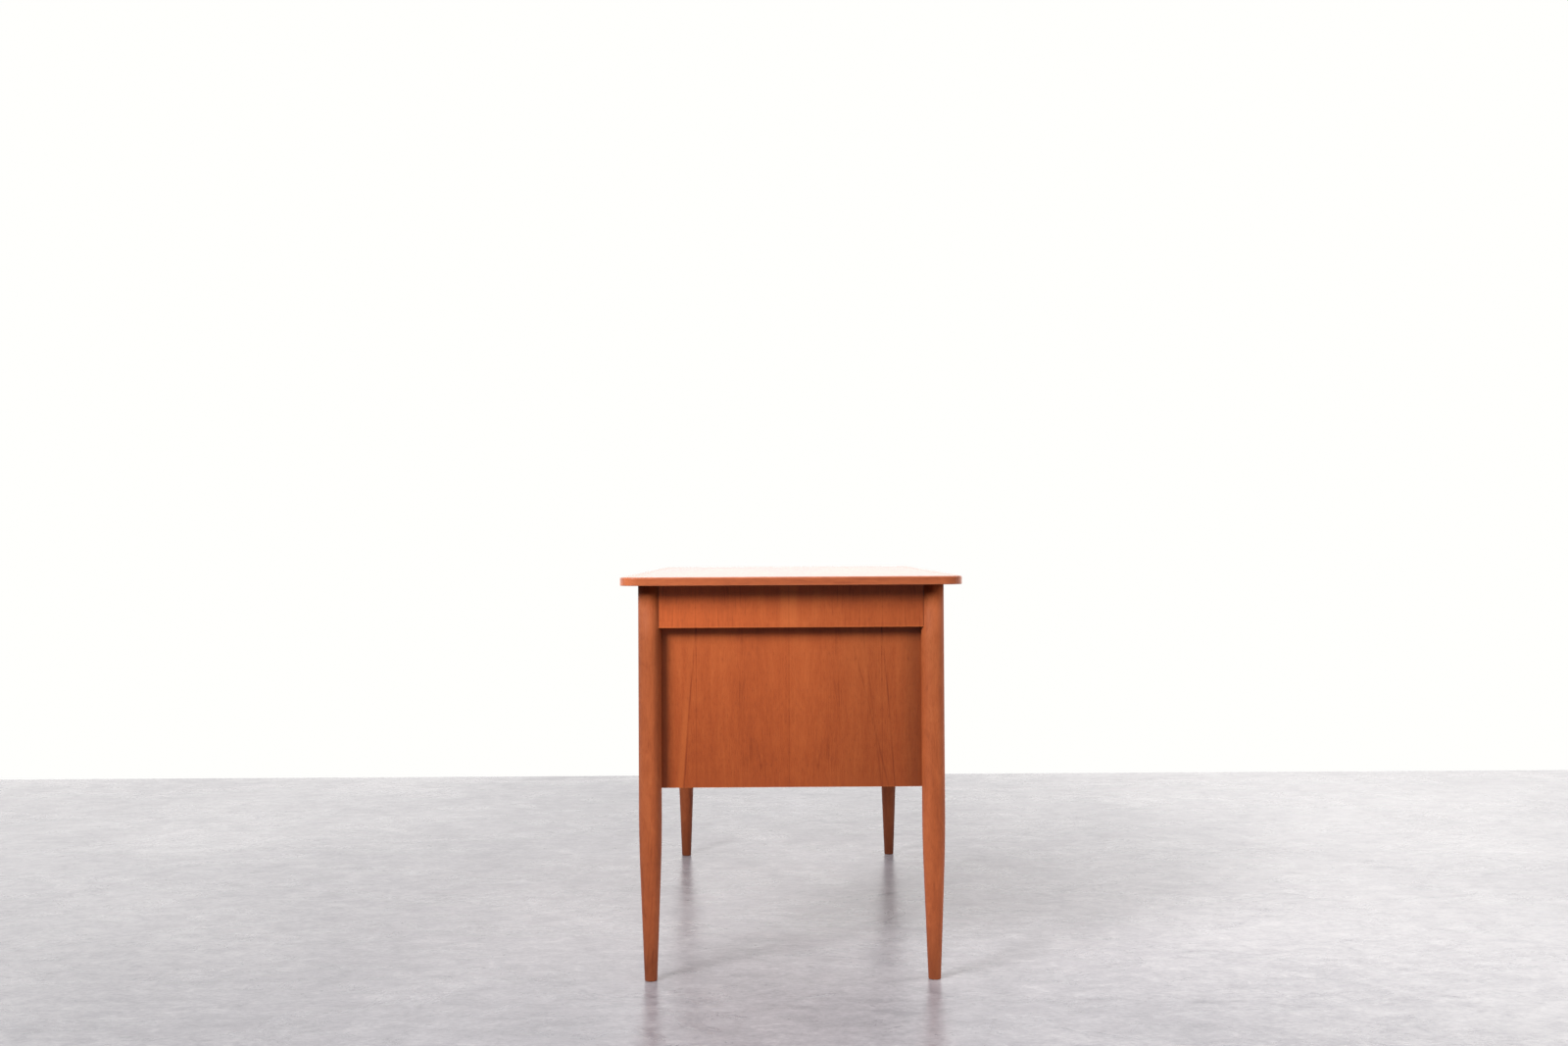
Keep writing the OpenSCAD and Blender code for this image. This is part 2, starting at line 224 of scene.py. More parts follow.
def section(s, place, along, across, match, pith):
    """Two coordinates across the grain, with side and joint.

    side is what painted shade and streaks are placed by: the distance from the match's centre,
    or the second cross axis of a solid piece. joint is the distance to the nearest joint of a match.
    """
    cross = [axis for axis in "XYZ" if axis != along]
    if across:
        cross.sort(key=lambda axis: axis != across)
    a, b = (place[axis] for axis in cross)
    if match:
        centre, leaf = match
        side = s.math("SUBTRACT", a, centre)
        a = s.math("PINGPONG", side, leaf)
        return a, b, side, s.math("MINIMUM", a, s.math("SUBTRACT", leaf, a))
    if pith:
        da = s.math("SUBTRACT", a, pith[0])
        db = s.math("SUBTRACT", b, pith[1])
        a = s.math("SQRT", s.math("ADD", s.math("MULTIPLY", da, da), s.math("MULTIPLY", db, db)))
        return a, b, b, None
    return a, b, a, None


def grain(s, look, seed, a, b, v):
    """A piece's noises, all drawn out along the grain, v."""
    offset = (3.1 * seed % 17, 5.7 * seed % 13, 7.3 * seed % 19)
    rings = look["rings"]

    def noise(at, x, y, z, shift, **settings):
        point = s.vector("MULTIPLY", s.combine(at, b, v), (x, y, z))
        return s.noise(s.vector("ADD", point, tuple(o + shift for o in offset)), **settings)

    drift = noise(a, 5.0, 5.0, 1.8, 0.0, detail=3.0)
    a = s.sway(drift, look["wander"] * 2, a)
    pores = noise(a, look["pores"], look["pores"], 90.0, 8.0, detail=1.0)
    return dict(
        drift=drift,
        broad=noise(a, look["broad"], look["broad"], 1.6, 2.0, detail=4.0, roughness=0.6),
        mottle=noise(a, rings * 0.35, rings * 0.35, rings * 0.16, 3.0, detail=4.0, roughness=0.7,
                     distortion=1.2),
        rings=noise(a, rings, rings / 6, 4.5, 4.0, detail=4.0, roughness=0.65, distortion=0.35),
        strokes=noise(a, rings * 2.6, rings, 16.0, 5.0, detail=2.0, distortion=0.5),
        fibres=noise(a, look["fibres"], look["fibres"], 30.0, 6.0, detail=2.0),
        pores=s.stretch(pores, 0.60, 0.74))


def figure(s, look, noises, side, match):
    """The wood's colour before any mark of its own: figure, dark strokes and pores."""
    tone = s.sway(noises["broad"], look["figure"], 0.5)
    tone = s.sway(noises["rings"], 0.7 * look["figure"], tone)
    tone = s.sway(noises["mottle"], look["mottle"], tone)
    if match:
        # Painted sheen: the leaves on one side of the centre are a little paler, catching the light
        # more.
        tone = s.math("MULTIPLY_ADD", s.math("GREATER_THAN", side, 0.0), 0.05, tone)
    tone = s.sway(noises["fibres"], 0.30, tone, clamp=True)
    colour = s.ramp(tone, [(0.18, look["dark"]), (0.5, look["middle"]), (0.82, look["light"])])
    clusters = s.stretch(noises["broad"], 0.62, 0.38)
    lines = s.math("MULTIPLY", s.stretch(noises["strokes"], 0.56, 0.70), clusters)
    colour = s.mix(s.math("MULTIPLY", lines, look["line_share"]), colour, look["line"], "MULTIPLY")
    return s.mix(s.math("MULTIPLY", noises["pores"], look["pore_share"]), colour, look["pore"],
                 "MULTIPLY")


def past_line(s, noises, side, v, at, lean):
    """Distance outwards from a line that is at from the centre where v is 0, and leans."""
    far = s.math("MULTIPLY_ADD", v, lean, s.math("ABSOLUTE", side))
    return s.math("SUBTRACT", s.sway(noises["drift"], 0.010, far), at)


def on_side(s, value, side, which):
    """value on the side of the centre that which says, -1 or 1, or on both for 0."""
    if not which:
        return value
    outwards = side if which > 0 else s.math("MULTIPLY", side, -1.0)
    return s.math("MULTIPLY", value, s.math("GREATER_THAN", outwards, 0.0))


def pale_strip(s, look, noises, side, v, colour, glow):
    start, end, lean, which, strength, top = glow
    fade_h = 0.14
    inner = s.stretch(past_line(s, noises, side, v, start, lean), 0.0, 0.002)
    outer = s.stretch(past_line(s, noises, side, v, end, lean), 0.006, -0.004)
    strip = s.math("MULTIPLY", s.math("MULTIPLY", inner, outer), strength)
    strip = s.math("MULTIPLY", strip, s.stretch(v, top, top - fade_h, 0.25, 1.0))
    return s.mix(on_side(s, strip, side, which), colour, look["light"])


def dark_line(s, look, noises, side, v, colour, streak):
    at, lean, width, strength, which = streak
    gap = s.math("ABSOLUTE", past_line(s, noises, side, v, at, lean))
    line = s.stretch(s.sway(noises["strokes"], width * 2.0, gap), width, 0.0, 0.0, strength)
    line = s.math("MULTIPLY", line, s.stretch(noises["rings"], 0.62, 0.42, 0.15, 1.0))
    return s.mix(on_side(s, line, side, which), colour, look["line"], "MULTIPLY")


def nearest_edge(s, place, low, high):
    """Distance to the nearest edge of a box: the second smallest of the distances to its faces."""
    gaps = []
    for i, axis in enumerate("XYZ"):
        below = s.math("SUBTRACT", place[axis], low[i])
        above = s.math("SUBTRACT", high[i], place[axis])
        gaps.append(s.math("MINIMUM", below, above))
    lesser = s.math("MINIMUM", gaps[0], gaps[1])
    greater = s.math("MAXIMUM", gaps[0], gaps[1])
    return s.math("MAXIMUM", lesser, s.math("MINIMUM", greater, gaps[2]))


def wood(name, look, along, seed, across=None, match=None, streaks=(), pith=None, edges=None,
         glow=None, painted_shade=(), painted_fade=(), **settings):
    """One piece's wood.

    along is the axis of the grain, and across the axis over which a veneered face changes.
    match is (centre, leaf): leaves of that width mirror each other from the centre outwards.
    streaks are (distance from the centre at 0 along, lean, width, strength, side), dark lines
    with the grain on one side of the centre (-1 or 1) or on both (0). pith is the place of a
    solid piece's pith on its two cross axes. edges is the (low, high) box whose edges are rubbed.
    glow is (from, to, lean, side, strength, top), a paler strip between two such lines that
    fades out towards top. The painted shade lists (from, to, share): the wood darkens to that
    share of its colour between those distances from the centre, or between those places on a
    solid piece's second cross axis. The painted fade lists the same along the grain.
    """
    s = Shader(name)
    place = s.position()
    v = place[along]
    a, b, side, joint = section(s, place, along, across, match, pith)
    noises = grain(s, look, seed, a, b, v)
    colour = figure(s, look, noises, side, match)
    if glow:
        colour = pale_strip(s, look, noises, side, v, colour, glow)
    for streak in streaks:
        colour = dark_line(s, look, noises, side, v, colour, streak)
    # Painted shade, across the grain and along it.
    for where, changes in ((side, painted_shade), (v, painted_fade)):
        for start, end, share in changes:
            colour = s.mix(s.stretch(where, start, end), colour, share, "MULTIPLY")
    if joint:
        seam = s.stretch(joint, SEAM_W, 0.0002, 0.0, 0.55)
        colour = s.mix(seam, colour, look["line"], "MULTIPLY")
    roughness = s.sway(noises["fibres"], 0.14, look["roughness"])
    roughness = s.math("MULTIPLY_ADD", noises["pores"], 0.16, roughness)
    if edges:
        rub = s.sway(noises["broad"], 0.003, nearest_edge(s, place, *edges))
        rub = s.stretch(rub, RUB_W, 0.0, 0.0, 0.38)
        colour = s.mix(rub, colour, look["light"])
        roughness = s.math("MULTIPLY_ADD", rub, -0.12, roughness)
    height = s.math("MULTIPLY_ADD", noises["pores"], -1.0, s.math("MULTIPLY", noises["fibres"], 0.55))
    height = s.math("MULTIPLY_ADD", noises["strokes"], 0.5, height)
    return s.finish(colour, roughness, height, look["bump"], **settings)


def steel(name):
    """Zinc-plated steel, dulled and lightly scratched."""
    s = Shader(name)
    place = s.position()
    point = s.combine(place["X"], place["Y"], place["Z"])
    cloud = s.noise(s.vector("MULTIPLY", point, (260.0, 260.0, 260.0)), detail=4.0)
    scratch = s.noise(s.vector("MULTIPLY", point, (5200.0, 900.0, 5200.0)), detail=2.0)
    colour = s.ramp(cloud, [(0.3, (0.36, 0.35, 0.33)), (0.7, (0.58, 0.57, 0.54))])
    roughness = s.math("MULTIPLY_ADD", cloud, 0.25, 0.26)
    return s.finish(colour, roughness, scratch, 0.00003, Metallic=1.0)


# ---------------------------------------------------------------- meshes

def piece(name, mesh, body, material, slot, *stands_for):
    obj = bpy.data.objects.new(name, mesh)
    bpy.context.scene.collection.objects.link(obj)
    obj.data.materials.append(material)
    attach(obj, body)
    if stands_for:
        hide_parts(*stands_for)
    return obj


def soften(obj, width, segments=2, angle=35):
    """Rounds a hard-edged mesh's corners."""
    bevel = obj.modifiers.new("Rounded edges", "BEVEL")
    bevel.width = width
    bevel.segments = segments
    bevel.limit_method = "ANGLE"
    bevel.angle_limit = math.radians(angle)
    bevel.harden_normals = False
    normals = obj.modifiers.new("Flat faces", "WEIGHTED_NORMAL")
    normals.keep_sharp = False


def dress(node, material, width=0.0006):
    """Gives a CAD board its wood and small rounded edges."""
    obj = NODES[node]
    obj.data.materials.clear()
    obj.data.materials.append(material)
    if width:
        weld = obj.modifiers.new("Weld", "WELD")
        weld.merge_threshold = 0.000002
        flat = obj.modifiers.new("Whole faces", "DECIMATE")
        flat.decimate_type = "DISSOLVE"
        flat.angle_limit = math.radians(0.5)
        soften(obj, width)


def lathe(name, profile, segments=96):
    """A mesh turned about Z from (radius, height) points, closed where the radius is 0."""
    mesh = bpy.data.meshes.new(name)
    bm = bmesh.new()
    rings = []
    turns = [math.tau * i / segments for i in range(segments)]
    for radius, z in profile:
        if radius == 0:
            rings.append([bm.verts.new((0, 0, z))])
        else:
            rings.append([bm.verts.new((radius * math.cos(t), radius * math.sin(t), z)) for t in turns])
    for lower, upper in zip(rings, rings[1:]):
        for i in range(segments):
            j = (i + 1) % segments
            corners = [lower[i % len(lower)], lower[j % len(lower)],
                       upper[j % len(upper)], upper[i % len(upper)]]
            kept = list(dict.fromkeys(corners))
            if len(kept) > 2:
                bm.faces.new(kept)
    return smooth_mesh(bm, mesh)


def smooth_mesh(bm, mesh):
    """Writes bm into mesh with its faces outwards and smooth."""
    bmesh.ops.recalc_face_normals(bm, faces=bm.faces)
    for face in bm.faces:
        face.smooth = True
    bm.to_mesh(mesh)
    bm.free()
    return mesh


def arc(centre, radius, start, end, steps):
    """Points of an arc in a plane, angles in degrees."""
    points = []
    for i in range(steps + 1):
        turn = math.radians(start + (end - start) * i / steps)
        points.append((centre[0] + radius * math.cos(turn), centre[1] + radius * math.sin(turn)))
    return points


# ---------------------------------------------------------------- legs

LEG_D = 0.041
FOOT_D = 0.0224
TAPER_H = 0.250
TAPER_BLEND = 0.110
TOE_ROUND = 0.0015
LEG_GAP = 0.0002      # left under the top
# Each leg's tone against the lippings', and the share of painted shade on its side towards -Y.
LEG_TONES_AND_PAINTED_SHADE = {"leg_front_right": (1.12, 0.66), "leg_back_right": (1.18, 0.74),
             "leg_front_left": (0.84, 0.90), "leg_back_left": (0.62, 0.95)}
LEG_PITH = (0.09, 0.06)      # from a leg's axis to the pith of the tree, outside the leg
# Painted shade along each leg: darker towards the foot and towards the top.
LEG_PAINTED_FADE = ((0.13, 0.0, even(0.68)), (0.22, 0.72, even(0.80)))


def leg_radius(z):
    leg_r = LEG_D / 2
    slope = (leg_r - FOOT_D / 2) / TAPER_H
    high = TAPER_H + TAPER_BLEND / 2
    if z >= high:
        return leg_r
    if z >= high - TAPER_BLEND:
        return leg_r - slope * (high - z) ** 2 / (2 * TAPER_BLEND)
    return leg_r - slope * (TAPER_H - z)


def leg_mesh(name):
    toe, blend_steps = TOE_ROUND, 12
    low = TAPER_H - TAPER_BLEND / 2
    blend = [low + TAPER_BLEND * i / blend_steps for i in range(blend_steps + 1)]
    end = under_top - LEG_GAP
    profile = [(0, 0), (leg_radius(0) - 1.6 * toe, 0)]
    profile += [(leg_radius(0) - toe + x, z + toe) for x, z in arc((0, 0), toe, -75, 0, 4)]
    profile += [(leg_radius(z), z) for z in (0.04, 0.08, 0.12, 0.16, *blend, 0.36, 0.48, 0.60, end)]
    profile += [(0, end)]
    return lathe(name, profile)


def make_legs():
    """The legs, each with painted shade: darker towards its foot, its top and its sides to -Y and +Y."""
    for i, node in enumerate(LEGS):
        middle = centre_of(node)
        tone, painted_side_shade = LEG_TONES_AND_PAINTED_SHADE[node]
        pith = (middle.x + LEG_PITH[0] * (-1) ** i, middle.y + LEG_PITH[1])
        # Painted shade on both sides of each leg, to -Y and to +Y.
        painted_shade = ((middle.y + 0.010, middle.y - LEG_D / 2, even(painted_side_shade)),
                 (middle.y + 0.004, middle.y + LEG_D / 2, even(0.74)))
        material = wood(node + "_teak", toned(TEAK_SOLID, tone), "Z", 11 + i, pith=pith,
                        painted_shade=painted_shade, painted_fade=LEG_PAINTED_FADE, IOR=1.40)
        mesh = leg_mesh(node + "_turned")
        mesh.transform(Matrix.Translation((middle.x, middle.y, 0)))
        piece(node + "_turned", mesh, "desk_frame", material, "teak_solid", node)


# ---------------------------------------------------------------- top

LIP_ROUND = 0.0010     # rounding of the top's lower outer edge
LIP_ROUND_TOP = 0.0032
LIP_PITH = (0.07, 0.05)      # from a lipping's middle, and below the top
LEAF_TOP = 0.141       # width of the top's veneer leaves
VARNISH = {"Coat Weight": 0.8, "Coat Roughness": 0.22}


def lipping_stations(out, from_panel):
    """(outer point, inner point, normal) along one side of the top, from mitre to mitre."""
    half = Vector((length / 2, depth / 2))
    run = Vector((-out.y, out.x))
    reach = abs(half.dot(out))
    side = abs(half.dot(run))
    steps = 12
    stations = []
    for sign in (-1, 1):
        centre = out * (reach - CORNER_R) + run * sign * (side - CORNER_R)
        corner = []
        for i in range(steps + 1):
            swing = math.radians(45 * i / steps) * sign
            normal = out * math.cos(swing) + run * math.sin(swing)
            inner_run = side - (from_panel if i else CORNER_R)
            inner = out * (reach - from_panel) + run * sign * inner_run
            corner.append((centre + normal * CORNER_R, inner, normal))
        stations += corner[::-1] if sign < 0 else corner
    return stations


def lipping_mesh(name, angle, from_panel):
    """The lipping on the side whose outward normal is at angle."""
    turn = math.radians(angle)
    out = Vector((round(math.cos(turn)), round(math.sin(turn))))
    low_r, top_r = LIP_ROUND, LIP_ROUND_TOP
    bm = bmesh.new()
    sections = []
    for outer, inner, normal in lipping_stations(out, from_panel):
        ring = [(*inner, under_top)]
        ring += [(*(outer + normal * (x - low_r)), z)
                 for x, z in arc((0, under_top + low_r), low_r, -90, 0, 4)]
        ring += [(*(outer + normal * (x - top_r)), z)
                 for x, z in arc((0, top_z - top_r), top_r, 0, 90, 5)]
        ring += [(*inner, top_z)]
        sections.append([bm.verts.new(p) for p in ring])
    for one, two in zip(sections, sections[1:]):
        for i in range(len(one)):
            j = (i + 1) % len(one)
            bm.faces.new((one[i], one[j], two[j], two[i]))
    bm.faces.new(sections[0])
    bm.faces.new(sections[-1][::-1])
    bmesh.ops.remove_doubles(bm, verts=bm.verts, dist=1e-6)
    return smooth_mesh(bm, bpy.data.meshes.new(name))


def make_top():
    lipping_w = length / 2 - panel_high.x
    corner = Vector((length / 2, depth / 2, 0))
    top_box = (Vector((0, 0, under_top)) - corner, Vector((0, 0, top_z)) + corner)
    sides = {"lipping_right": (0, "Y"), "lipping_back": (90, "X"),
             "lipping_left": (180, "Y"), "lipping_front": (270, "X")}
    for i, (node, (angle, along)) in enumerate(sides.items()):
        middle = centre_of(node)
        pith = ((middle.y if along == "X" else middle.x) + LIP_PITH[0], under_top - LIP_PITH[1])
        material = wood(node + "_teak", TEAK_SOLID, along, 21 + i, pith=pith, edges=top_box, **VARNISH)
        mesh = lipping_mesh(node + "_moulded", angle, lipping_w)
        obj = piece(node + "_moulded", mesh, "desk_frame", material, "teak_solid", node)
        soften(obj, 0.00025, segments=1, angle=40)
    veneer = wood("desktop_teak", TEAK_FIGURED, "X", 31, across="Y", match=(0.0, LEAF_TOP), **VARNISH)
    dress("desktop", veneer, 0.00025)


# ---------------------------------------------------------------- frame and cases

BOARD_ROUND = 0.0012   # rounding of the aprons' and outer sides' edges
LEAF = 0.167           # width of the veneer leaves on the ends
LEAF_BACK = 0.134      # and on the backs of the cases
MATCH_Y = -0.004       # where the two middle leaves meet
# (from the centre at the floor, lean, width, strength, side)
END_STREAKS = ((0.220, 0.083, 0.0022, 0.7, 0), (0.261, 0.24, 0.0026, 0.45, 1),
               (0.206, 0.115, 0.0026, 0.40, 1))
# (from, to, lean, side, strength, top)
END_GLOW = (0.221, 0.231, 0.083, -1, 0.6, 0.56)
APRON_GLOW = (-0.004, 0.014, 0.0, 0, 0.4, 0.9)
# Painted shade on the cases' outer sides: darker towards +Y, and darker still by the leg there.
END_PAINTED_SHADE = ((0.0, 0.16, even(0.85)), (0.190, 0.230, even(0.68)))
# Painted shade: the cases' outer sides darker and warmer towards the bottom.
END_PAINTED_FADE = ((0.66, 0.34, (0.85, 0.79, 0.70)),)
# Painted shade: the end aprons darken towards +Y, and as a contact shadow at their joints with the legs.
APRON_PAINTED_SHADE = ((-0.23, 0.10, even(0.76)), (-0.2305, -0.2335, even(0.35)),
               (0.2385, 0.2415, even(0.35)))


def make_frame():
    for end, seed in zip(ENDS, (41, 42)):
        node = f"apron_{end}"
        teak = wood(node + "_teak", toned(TEAK, 1.27), "Z", seed, across="Y", match=(MATCH_Y, LEAF),
                    glow=APRON_GLOW, painted_shade=APRON_PAINTED_SHADE, edges=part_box(node))
        dress(node, teak, BOARD_ROUND)
    for side, seed in (("front", 43), ("back", 44)):
        node = f"apron_{side}"
        teak = wood(node + "_teak", TEAK_FIGURED, "X", seed, across="Z", edges=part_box(node))
        dress(node, teak, BOARD_ROUND)
        node = f"batten_{side}"
        dress(node, wood(node + "_beech", BEECH, "X", seed + 2, across="Z"))


def make_cases():
    for end, seed in zip(ENDS, (51, 61)):
        case = f"{end}_case_"
        outer, inner, back = (case + board for board in ("outer_side", "inner_side", "back"))
        dress(outer, wood(case + "outer_teak", TEAK, "Z", seed, across="Y", match=(MATCH_Y, LEAF),
                          streaks=END_STREAKS, glow=END_GLOW, painted_shade=END_PAINTED_SHADE, painted_fade=END_PAINTED_FADE,
                          edges=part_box(outer)), BOARD_ROUND)
        dress(inner, wood(case + "inner_teak", TEAK_FIGURED, "Z", seed + 1, across="Y",
                          match=(MATCH_Y, LEAF), edges=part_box(inner)))
        dress(back, wood(case + "back_teak", TEAK_FIGURED, "Z", seed + 2, across="X",
                         match=(centre_of(back).x, LEAF_BACK)))
        dress(case + "top", wood(case + "top_teak", TEAK, "X", seed + 3, across="Y"))
        dress(case + "bottom", wood(case + "bottom_teak", TEAK, "X", seed + 4, across="Y"))


# ---------------------------------------------------------------- drawers

KNOB_FOOT_R = 0.0086   # of the disc that seats on the drawer front
KNOB_FOOT_H = 0.0012
KNOB_WAIST_R = 0.0063  # of the hollow that the neck is turned to
KNOB_RIM = 0.0040
KNOB_DISH = 0.0017


def knob_mesh(node):
    """A turned knob on a flared neck, its face slightly dished, standing out towards -Y."""
    low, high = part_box(node)
    out = high.y - low.y
    r = (high.x - low.x) / 2
    profile = [(0, 0), (KNOB_FOOT_R, 0), (KNOB_FOOT_R, KNOB_FOOT_H)]
    profile += arc((0.0128, 0.0062), KNOB_WAIST_R, 215, 135, 8)
    profile += [(0.0098, 0.0124), (0.0128, 0.0142), (0.0148, 0.0158)]
    profile += arc((r - KNOB_RIM, out - 0.0044), KNOB_RIM, -25, 80, 10)
    profile += [(r - 0.0055, out - 0.0004), (r - 0.0072, out - 0.0010), (0.004, out - 0.0016),
                (0, out - KNOB_DISH)]
    mesh = lathe(node + "_turned", profile, 64)
    mesh.transform(Matrix.Rotation(math.radians(90), 4, "X"))
    mesh.transform(Matrix.Translation(((low.x + high.x) / 2, high.y, (low.z + high.z) / 2)))
    return mesh


def make_drawer(drawer, seed, beech, plywood, plated):
    """One drawer. Both fronts in a case share a seed, so the figure runs on between them."""
    front = drawer + "_front"
    teak = wood(front + "_teak", TEAK_FIGURED, "X", seed, across="Z", edges=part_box(front))
    dress(front, teak, 0.0008)
    for side in ENDS:
        dress(f"{drawer}_{side}_side", beech["Y"], 0.0005)
    dress(drawer + "_back", beech["X"])
    dress(drawer + "_bottom", plywood, 0.0003)
    dress(drawer + "_knob_screw", plated, 0)
    knob = drawer + "_knob"
    turned = wood(knob + "_teak", TEAK_SOLID, "Y", seed + 5, pith=(0.03, 0.02))
    piece(knob + "_turned", knob_mesh(knob), drawer, turned, "teak_solid", knob)


def make_drawers():
    beech = {along: wood("beech_" + along, BEECH, along, 71, across="Z") for along in "XY"}
    plywood = wood("birch_plywood", PLYWOOD, "X", 75, across="Y")
    plated = steel("plated_steel")
    for end, seed in zip(ENDS, (81, 82)):
        for tier in TIERS:
            make_drawer(f"{end}_{tier}_drawer", seed, beech, plywood, plated)
            dress(f"{end}_{tier}_runners", beech["Y"])
    dress("top_screws", plated, 0)
    dress("case_screws", plated, 0)


# ---------------------------------------------------------------- stage

WALL_X = -1.865        # where the floor ends, at the foot of the white background
FLOOR_REACH = 7.0


def floor_tone(s, place, cloud, trowel, patches):
    """Mottle and scuffs, with painted light: paler towards the far end, both sides and the near end."""
    right_end = length / 2
    scuffs = s.stretch(cloud(17.0, 9.0, 8.0, 0.78, 0.8), 0.57, 0.66)
    tone = s.sway(cloud(1.3, 1.7, 5.0, 0.60, 0.8), 0.55, 0.26)
    tone = s.sway(patches, 0.50, tone)
    tone = s.sway(trowel, 0.95, tone)
    tone = s.sway(cloud(140.0, 80.0, 4.0, 0.7), 0.65, tone)
    tone = s.math("MULTIPLY_ADD", scuffs, -0.16, tone)
    # Painted light: paler towards the far end, beyond the near end, and to both sides, most to +Y.
    painted_light = [s.stretch(place["X"], right_end + 0.3, -1.9, 0.03, 0.08),
             s.stretch(place["X"], right_end + 0.1, right_end + 1.0, 0.0, 0.42),
             s.stretch(s.math("ABSOLUTE", place["Y"]), 0.2, 1.6, 0.0, 0.26),
             s.stretch(place["Y"], 0.1, 1.2, 0.0, 0.17)]
    for share in painted_light:
        tone = s.math("ADD", tone, share)
    return tone


def make_floor():
    """Pale, trowelled concrete up to the wall at the far end."""
    s = Shader("pale_concrete")
    place = s.position()
    point = s.combine(place["X"], place["Y"], place["Z"])

    def cloud(x, y, detail, roughness, distortion=0.0):
        return s.noise(s.vector("MULTIPLY", point, (x, y, 1.0)), detail, roughness, distortion)

    patches = cloud(6.0, 3.2, 8.0, 0.70, 1.2)
    trowel = cloud(27.0, 15.0, 8.0, 0.75, 0.6)
    tone = floor_tone(s, place, cloud, trowel, patches)
    colour = s.ramp(tone, [(0.10, (0.250, 0.242, 0.270)), (0.40, (0.390, 0.378, 0.408)),
                           (0.65, (0.555, 0.541, 0.560)), (1.0, (0.765, 0.748, 0.752))])
    # Less light comes back up from the open floor beyond the right-hand end.
    rays = s.nodes.new("ShaderNodeLightPath")
    open_floor = s.stretch(place["X"], length / 2 + 0.20, length / 2 + 0.50, 0.0, 0.88)
    dim = s.math("MULTIPLY", rays.outputs["Is Diffuse Ray"], open_floor)
    colour = s.mix(dim, colour, even(0.0))
    roughness = s.math("MULTIPLY_ADD", patches, 0.30, 0.14)
    material = s.finish(colour, roughness, trowel, 0.0006, IOR=1.50)
    mesh = bpy.data.meshes.new("floor")
    corners = [(WALL_X, -FLOOR_REACH, 0), (FLOOR_REACH, -FLOOR_REACH, 0),
               (FLOOR_REACH, FLOOR_REACH, 0), (WALL_X, FLOOR_REACH, 0)]
    mesh.from_pydata(corners, [], [(0, 1, 2, 3)])
    floor = bpy.data.objects.new("floor", mesh)
    bpy.context.scene.collection.objects.link(floor)
    mesh.materials.append(material)


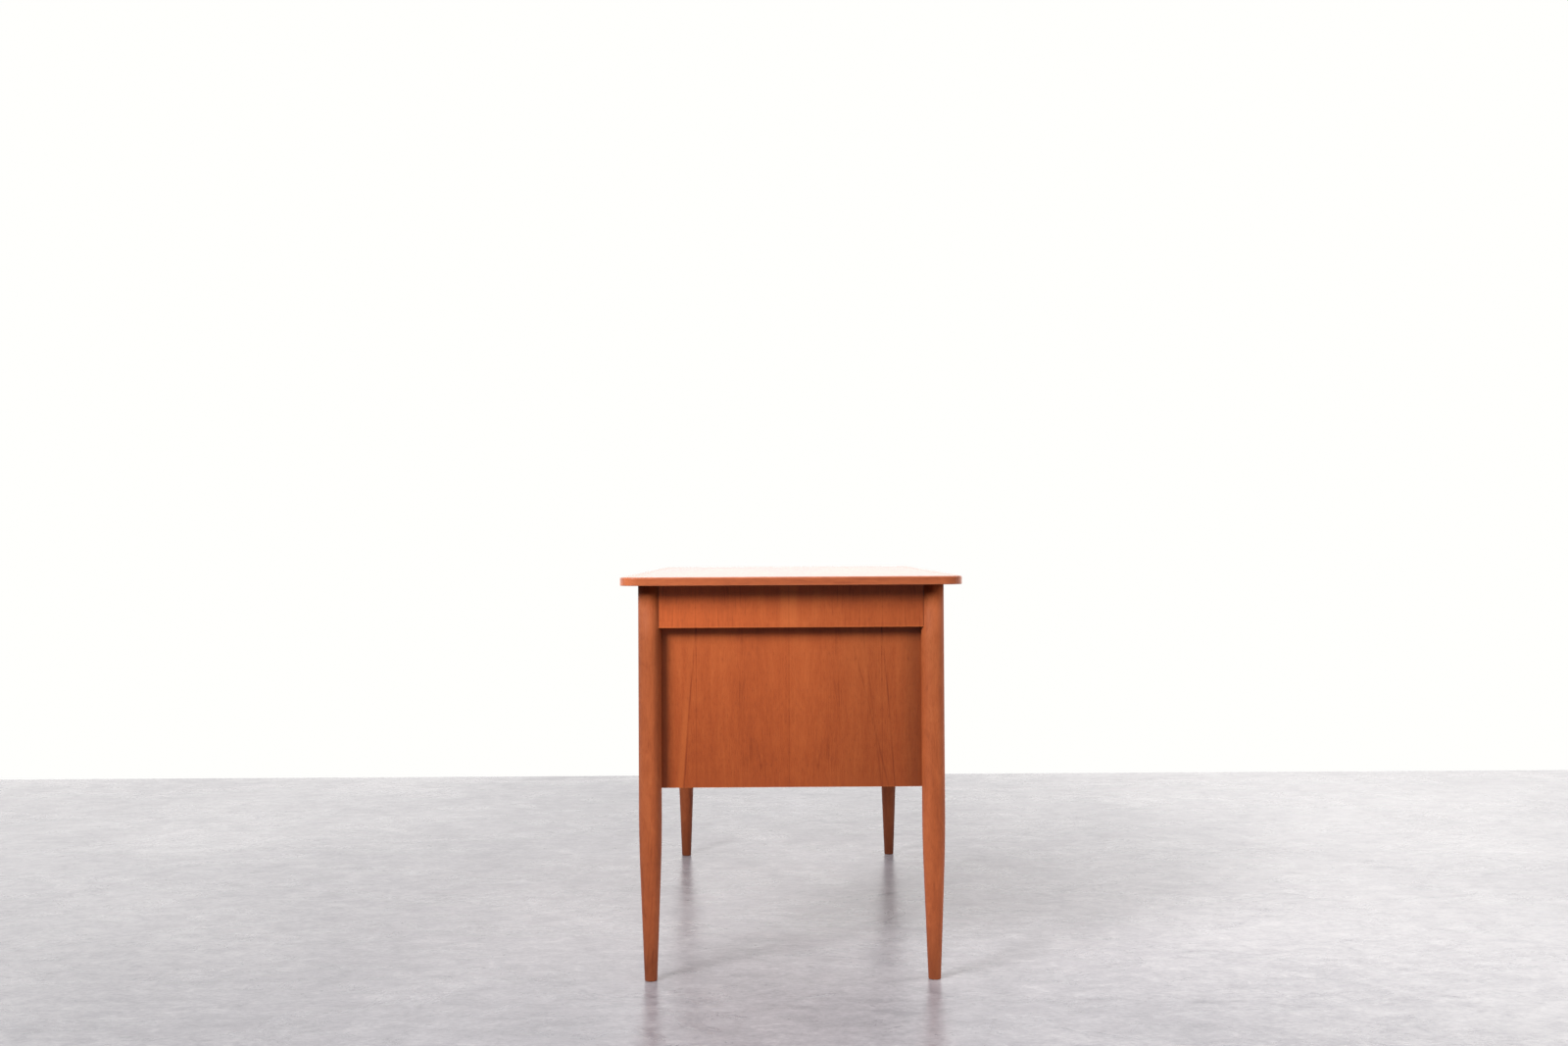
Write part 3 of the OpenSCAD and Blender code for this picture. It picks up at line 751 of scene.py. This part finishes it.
def make_world():
    """Soft room light, brightest from the wall at the far end, and a white background."""
    world = bpy.data.worlds.new("studio")
    bpy.context.scene.world = world
    world.use_nodes = True
    nodes, links = world.node_tree.nodes, world.node_tree.links
    nodes.clear()
    coordinates = nodes.new("ShaderNodeTexCoord")
    split = nodes.new("ShaderNodeSeparateXYZ")
    links.new(coordinates.outputs["Generated"], split.inputs[0])

    def ramp(axis, stops):
        """Colours by the direction's share of one axis, from -1 at 0 to 1 at 1."""
        spread = nodes.new("ShaderNodeMapRange")
        spread.inputs[1].default_value = -1
        spread.inputs[2].default_value = 1
        links.new(split.outputs[axis], spread.inputs[0])
        node = nodes.new("ShaderNodeValToRGB")
        links.new(spread.outputs[0], node.inputs[0])
        set_stops(node, stops)
        return node.outputs[0]

    def mix(factor, a, b, blend="MIX"):
        node = nodes.new("ShaderNodeMix")
        node.data_type = "RGBA"
        node.blend_type = blend
        for socket, value in zip((node.inputs[0], node.inputs[6], node.inputs[7]), (factor, a, b)):
            if isinstance(value, bpy.types.NodeSocket):
                links.new(value, socket)
            else:
                socket.default_value = value
        return node.outputs[2]

    room = ramp("X", [(0, (1.76, 1.72, 1.67)), (0.3, (1.16, 1.14, 1.12)), (0.5, even(0.40)),
                      (0.62, even(0.10)), (1, even(0.04))])
    ground = ramp("Z", [(0.36, even(0.45)), (0.44, even(1.0))])
    above = ramp("Z", [(0.60, even(0.0)), (0.78, even(1.0))])
    seen = ramp("Z", [(0.36, (0.50, 0.49, 0.50)), (0.42, (1.0, 1.0, 0.98))])
    light = mix(1.0, room, ground, "MULTIPLY")
    light = mix(above, light, (0.80, 0.80, 0.82, 1))
    rays = nodes.new("ShaderNodeLightPath")
    background = nodes.new("ShaderNodeBackground")
    links.new(mix(rays.outputs["Is Camera Ray"], light, seen), background.inputs[0])
    output = nodes.new("ShaderNodeOutputWorld")
    links.new(background.outputs[0], output.inputs[0])


def soft_box(name, energy, size, place, target, spread, mirrored):
    """A gridded soft box, seen in glossy surfaces or not."""
    light = bpy.data.lights.new(name, "AREA")
    light.shape = "RECTANGLE"
    light.size, light.size_y = size
    light.energy = energy
    light.spread = math.radians(spread)
    light.color = (1.0, 0.985, 0.96)
    lamp = bpy.data.objects.new(name, light)
    bpy.context.scene.collection.objects.link(lamp)
    lamp.location = place
    lamp.rotation_euler = (Vector(target) - lamp.location).to_track_quat("-Z", "Y").to_euler()
    lamp.visible_camera = False
    lamp.visible_glossy = mirrored


def make_lights():
    """The key to the left of the camera, above the top, and a fill from behind the desk.

    The key is two boxes in one place, and only the dim one is mirrored, so that it gives the
    legs a highlight without a white patch on the top.
    """
    end = length / 2
    key = ((0.9, 1.1), (end + 1.40, -1.45, 1.92), (end, -0.15, 0.88), 53)
    soft_box("key", 7.4, *key, False)
    soft_box("key_sheen", 2.9, *key, True)
    soft_box("fill", 4.0, (0.6, 1.2), (end + 0.09, 2.50, 0.95), (end - 0.05, 0.0, 0.45), 60, False)


def make_camera():
    """On the desk's long axis, past its right-hand end, at about the height of its top."""
    camera = bpy.data.cameras.new("camera")
    camera.lens, camera.sensor_width = 35.0, 36.0
    camera.clip_start, camera.clip_end = 0.05, 60
    obj = bpy.data.objects.new("camera", camera)
    bpy.context.scene.collection.objects.link(obj)
    obj.location = (length / 2 + 2.684, -0.0285, top_z + 0.0576)
    yaw, pitch, roll = math.radians(0.35), math.radians(0.79), math.radians(0.30)
    ahead = Vector((-math.cos(yaw) * math.cos(pitch), math.sin(yaw) * math.cos(pitch), math.sin(pitch)))
    facing = ahead.to_track_quat("-Z", "Y").to_matrix()
    obj.rotation_euler = (facing @ Matrix.Rotation(-roll, 3, "Z")).to_euler()
    bpy.context.scene.camera = obj


make_legs()
make_top()
make_frame()
make_cases()
make_drawers()
make_floor()
make_world()
make_lights()
make_camera()
bpy.context.scene.view_settings.view_transform = "Standard"
